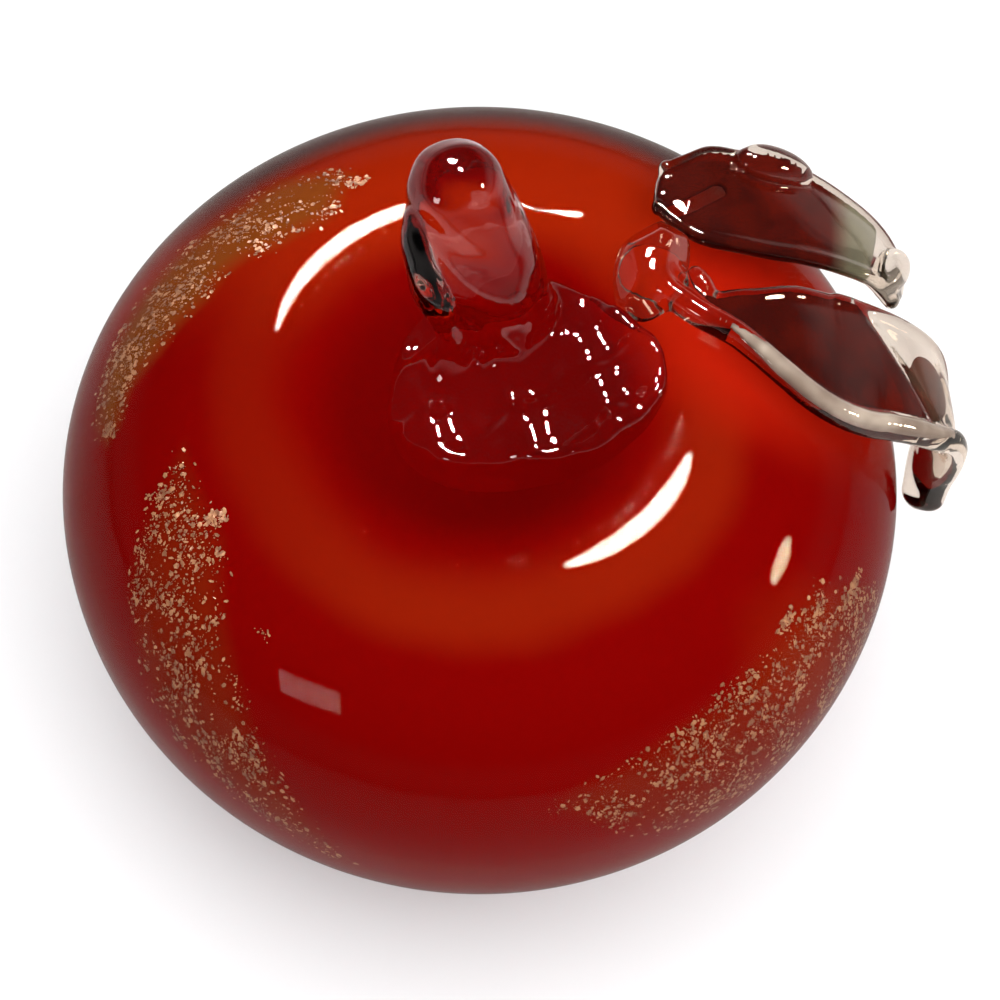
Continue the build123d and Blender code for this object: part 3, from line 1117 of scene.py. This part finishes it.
def leaf_skin(name, field, node, material):
    """Piece grown from its field, within its node's box and a margin."""
    low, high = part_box(node)
    corners, faces = grown_skin(field, low / mm - leaf_margin, high / mm + leaf_margin, leaf_step)
    piece = mesh_object(name, corners * mm, faces, material)
    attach(piece, "root")
    return piece, corners


# Back leaf: a smaller bit beside it, pressed the same way.
# Its upper edge folded over, and its thin clear tip curled up on itself.
back_leaf_width = 19.5
back_leaf_thickness = 6.0
back_leaf_roll = math.radians(14)
back_leaf_station_shares = [
    (51.0, 68.0, 0.35, 0.50, 0.75),
    (45.6, 64.0, 0.50, 0.88, 1.00),
    (39.4, 55.5, 0.65, 1.00, 1.00),
    (35.0, 45.0, 0.85, 1.02, 1.00),
    (30.6, 35.0, 1.10, 0.95, 1.00),
    (26.4, 27.0, 1.35, 0.82, 1.05),
    (22.6, 21.0, 1.35, 0.62, 1.05),
]
back_blade_share = 0.58
back_dish = 0.4
back_beads = [(1, 1.1, 0.1), (-1, 1.3, 0.5)]
lobe_place = (17.5, -7.0, 2.2)
lobe_size = (13.0, 6.5, 5.0)
curl_place = (40.0, 0.5, 1.2)
curl_size = (5.4, 12.5, 6.0)
lobe_softness = 1.0
back_spine = leaf_spine(back_leaf_station_shares, back_leaf_width, back_leaf_thickness, back_leaf_roll)


def back_leaf_field(points):
    """Back leaf with its folded edge and its curled tip, negative inside."""
    leaf = leaf_blade(points, back_spine, back_blade_share, back_dish, back_beads)
    along, across, above, past, _, _ = leaf_place(points, back_spine)
    for place, size in ((lobe_place, lobe_size), (curl_place, curl_size)):
        offsets = (along + past - place[0], across - place[1], above - place[2])
        leaf = smooth_least(leaf, flat_round(offsets, [length / 2 for length in size]), lobe_softness)
    return leaf


leaf_clear = clear_glass("leaf_glass", leaf_tint)
for leaf_name, leaf_node, leaf_field, neighbour_field in (
    ("front_leaf_clear", "front_leaf", front_leaf_field, back_leaf_field),
    ("back_leaf_clear", "back_leaf", back_leaf_field, front_leaf_field),
):
    leaf, _ = leaf_skin(leaf_name, leaf_field, leaf_node, leaf_clear)
    fused(leaf, apple_field, neighbour_field)
    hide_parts(leaf_node)
fused(casing, stem_field, front_leaf_field, back_leaf_field)

# Smoky cores: plum brown glass that each leaf was gathered over, cased in clear all round.
# They run out before the tips, where the back leaf's fades to grey green.
# A pale strand in the front leaf's rolled rim is painted light, standing in for the bright band that the rim
# shows.
plum_tint = (0.42, 0.09, 0.06, 1)
plum_body = (0.135, 0.010, 0.005, 1)
plum_dark = (0.070, 0.007, 0.005, 1)
pale_tint = (0.80, 0.80, 0.72, 1)
pale_body = (0.20, 0.19, 0.13, 1)
smoke_cover = 0.5
smoke_streak = 1 / (7 * mm)
smoke_detail = 2
smoke_fade = (0.35, 0.65)
core_skin = 0.8
core_least = (0.6, 0.4)
core_end_softness = 1.0
crease_softness = 0.3
front_core_rims = (5.0, 0.9)
front_core_ends = (6.2, 42.4)
window_place = (47.3, 0.0, 0.0)
window_size = (7.5, 11.5, 2.4)
window_paling = (crease_place[0], crease_place[0] + 1, crease_place[1], 0.3)
# Pale strand of painted light in the front leaf's rolled rim, in place of its bright band:
rim_depth = 2.4
rim_radius = 0.95
rim_rise = 0.9
rim_ends = ((8.0, 20.0), (41.0, 53.0))
rim_least_taper = -0.2
rim_light_cover = 0.8
rim_light_body = (0.72, 0.64, 0.55, 1)
rim_light_dark = (0.36, 0.29, 0.24, 1)
back_core_rims = (0.7, 0.7)
back_core_ends = (-2.0, 36.0)
back_paling = (27.5, 31.5, 0, 1)
slot_start = (-1.5, 8.0)
slot_end = (8.5, -1.0)
slot_width = 1.3
slot_softness = 0.4


def smoky_glass():
    """Plum brown glass in optical contact with the clear glass round it, paling to grey green."""
    material, tree = node_material("smoky_glass")
    place = added(tree, "ShaderNodeTexCoord").outputs["Object"]
    streaks = added(tree, "ShaderNodeTexNoise", {
        "Scale": smoke_streak, "Detail": smoke_detail, "Vector": place,
    })
    shade = fade(tree, streaks.outputs["Fac"], *smoke_fade)
    paling = added(tree, "ShaderNodeAttribute", attribute_name="paling").outputs["Fac"]
    tint = blended(tree, paling, plum_tint, pale_tint)
    through = added(tree, "ShaderNodeBsdfTransparent", {"Color": tint})
    plum = blended(tree, shade, plum_body, plum_dark)
    body = added(tree, "ShaderNodeBsdfDiffuse", {"Color": blended(tree, paling, plum, pale_body)})
    smoke = added(tree, "ShaderNodeMixShader", {
        "Fac": smoke_cover, 1: through.outputs["BSDF"], 2: body.outputs["BSDF"],
    })
    # The pale strand is painted light: a pale matt colour in place of the rim's bright band.
    pale = added(tree, "ShaderNodeBsdfDiffuse", {"Color": blended(tree, shade, rim_light_body, rim_light_dark)})
    strand = added(tree, "ShaderNodeAttribute", attribute_name="in_rim_light").outputs["Fac"]
    covered = maths(tree, "MULTIPLY", strand, rim_light_cover)
    whole = added(tree, "ShaderNodeMixShader", {
        "Fac": covered, 1: smoke.outputs["Shader"], 2: pale.outputs["BSDF"],
    })
    added(tree, "ShaderNodeOutputMaterial", {"Surface": whole.outputs["Shader"]})
    return material


def core_blade(points, spine, rims, blade_share, dish):
    """Core inside a leaf, held in from its rims and from its faces."""
    along, across, above, past, wide, thick = leaf_place(points, spine)
    sunk = above + dish * (1 - np.clip(across / wide, -1, 1) ** 2)
    half = np.maximum(wide - (rims[0] + rims[1]) / 2, core_least[0])
    deep = np.maximum(thick * blade_share - core_skin, core_least[1])
    offsets = (across + (rims[0] - rims[1]) / 2, sunk, past)
    return along, across, above, flat_round(offsets, (half, deep, deep))


def rim_light_strand(points):
    """Pale strand of painted light in the front leaf's rolled front rim, in place of its bright band."""
    along, across, above, past, wide, _ = leaf_place(points, front_spine)
    (start, whole), (full, end) = rim_ends
    taper = np.minimum((along - start) / (whole - start), (end - along) / (end - full))
    off = np.sqrt((across - np.maximum(wide - rim_depth, 0)) ** 2 + (above - rim_rise) ** 2 + past ** 2)
    return off - rim_radius * np.clip(taper, rim_least_taper, 1)


def front_core_field(points):
    """Core of the front leaf, cut off at the crease, with the drop past it and the pale strand of painted
    light.
    """
    along, across, above, core = core_blade(
        points, front_spine, front_core_rims, front_blade_share, front_dish
    )
    core = smooth_most(core, front_core_ends[0] - along, core_end_softness)
    core = smooth_most(core, along - front_core_ends[1] - crease_place[1] * across, crease_softness)
    offsets = (along - window_place[0], across - window_place[1], above - window_place[2])
    core = np.minimum(core, flat_round(offsets, [length / 2 for length in window_size]))
    return np.minimum(core, rim_light_strand(points))


def back_core_field(points):
    """Core of the back leaf, parted by a clear slot."""
    along, across, _, core = core_blade(points, back_spine, back_core_rims, back_blade_share, back_dish)
    core = smooth_most(core, back_core_ends[0] - along, core_end_softness)
    core = smooth_most(core, along - back_core_ends[1], core_end_softness)
    run = np.subtract(slot_end, slot_start)
    gap = np.stack([along - slot_start[0], across - slot_start[1]], -1)
    share = np.clip(gap @ run / (run @ run), 0, 1)
    off = np.linalg.norm(gap - share[:, None] * run, axis=1)
    return smooth_most(core, slot_width - off, slot_softness)


smoke = smoky_glass()
for core_name, core_node, core_field, core_spine, core_paling in (
    ("front_leaf_core", "front_leaf", front_core_field, front_spine, window_paling),
    ("back_leaf_core", "back_leaf", back_core_field, back_spine, back_paling),
):
    core, core_corners = leaf_skin(core_name, core_field, core_node, smoke)
    core_along, core_across = leaf_place(core_corners, core_spine)[:2]
    pale_start, pale_end, pale_slant, pale_most = core_paling
    pale_share = (core_along - pale_start - pale_slant * core_across) / (pale_end - pale_start)
    kept_values(core, "paling", pale_most * np.clip(pale_share, 0, 1))
    # Corners in the pale strand of painted light.
    kept_values(core, "in_rim_light", rim_light_strand(core_corners) < leaf_step / 2)
